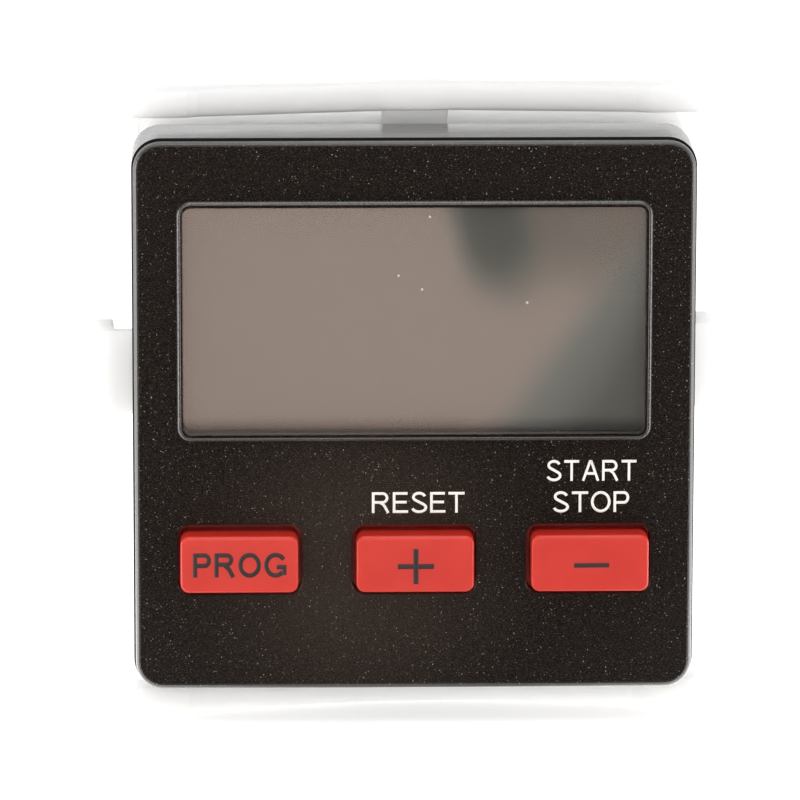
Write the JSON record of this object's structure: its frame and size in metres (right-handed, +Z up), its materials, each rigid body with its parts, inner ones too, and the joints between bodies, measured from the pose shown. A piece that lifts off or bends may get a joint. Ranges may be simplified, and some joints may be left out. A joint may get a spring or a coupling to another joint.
{
  "type": "digital time switch",
  "caption": "Square panel-mounted time switch with a wide display window over a row of red keys, and a white clamp frame with bowed spring bars and finger tabs on its body.",
  "frame": {"origin": "middle of the square panel cut-out, in the plane of the flange back, which rests on the panel", "axes": "+Z up, +Y back into the panel, the front with display and keys faces -Y, +X to the right seen from the front"},
  "size_m": [0.0552, 0.0379, 0.0546],
  "materials": {
    "front_cover": "spark-eroded black plastic",
    "window_pane": "tinted clear plastic",
    "button_prog": "satin red plastic",
    "button_plus": "satin red plastic",
    "button_minus": "satin red plastic",
    "display_polarizer": "grey film",
    "display_front_glass": "clear glass",
    "display_rear_glass": "clear glass",
    "display_reflector": "satin silver film",
    "display_holder": "black plastic",
    "contact_strips": "striped elastomer",
    "backing_pad": "grey foam",
    "display_board": "green solder mask",
    "key_switches": "black plastic",
    "microcontroller": "black moulding compound",
    "quartz_crystal": "nickel plated can",
    "backup_battery": "nickel plated steel",
    "board_header": "gold plated pins in black strips",
    "power_board": "green solder mask",
    "relay": "blue housing",
    "mains_capacitor": "yellow box",
    "smoothing_capacitor": "dark sleeve",
    "varistor": "blue lacquer",
    "rectifier": "black moulding compound",
    "fuse": "brown lacquer",
    "terminal_block": "dark grey plastic",
    "terminal_screws": "zinc plated",
    "wire_clamps": "nickel plated",
    "case": "black plastic",
    "rear_cover": "black plastic",
    "clamp_frame": "satin white plastic"
  },
  "bodies": {
    "unit": {"front_cover": "front_cover", "window_pane": "window_pane", "display_polarizer": "display_polarizer", "display_front_glass": "display_front_glass", "display_rear_glass": "display_rear_glass", "display_reflector": "display_reflector", "display_holder": "display_holder", "contact_strips": "contact_strips", "backing_pad": "backing_pad", "display_board": "display_board", "key_switches": "key_switches", "microcontroller": "microcontroller", "quartz_crystal": "quartz_crystal", "backup_battery": "backup_battery", "board_header": "board_header", "power_board": "power_board", "relay": "relay", "mains_capacitor": "mains_capacitor", "smoothing_capacitor": "smoothing_capacitor", "varistor": "varistor", "rectifier": "rectifier", "fuse": "fuse", "terminal_block": "terminal_block", "terminal_screws": "terminal_screws", "wire_clamps": "wire_clamps", "case": "case", "rear_cover": "rear_cover"},
    "prog_key": {"button_prog": "button_prog"},
    "plus_key": {"button_plus": "button_plus"},
    "minus_key": {"button_minus": "button_minus"},
    "clamp": {"clamp_frame": "clamp_frame"}
  },
  "joints": [
    {"name": "prog_key_press", "type": "slide", "parent": "unit", "child": "prog_key", "axis": [0, 1, 0], "range_m": [0, 0.0005], "stiffness_N_per_m": 1500, "springref_m": -0.0002},
    {"name": "plus_key_press", "type": "slide", "parent": "unit", "child": "plus_key", "axis": [0, 1, 0], "range_m": [0, 0.0005], "stiffness_N_per_m": 1500, "springref_m": -0.0002},
    {"name": "minus_key_press", "type": "slide", "parent": "unit", "child": "minus_key", "axis": [0, 1, 0], "range_m": [0, 0.0005], "stiffness_N_per_m": 1500, "springref_m": -0.0002},
    {"name": "clamp_frame_slide", "type": "slide", "parent": "unit", "child": "clamp", "axis": [0, 1, 0], "range_m": [0, 0.012]}
  ]
}
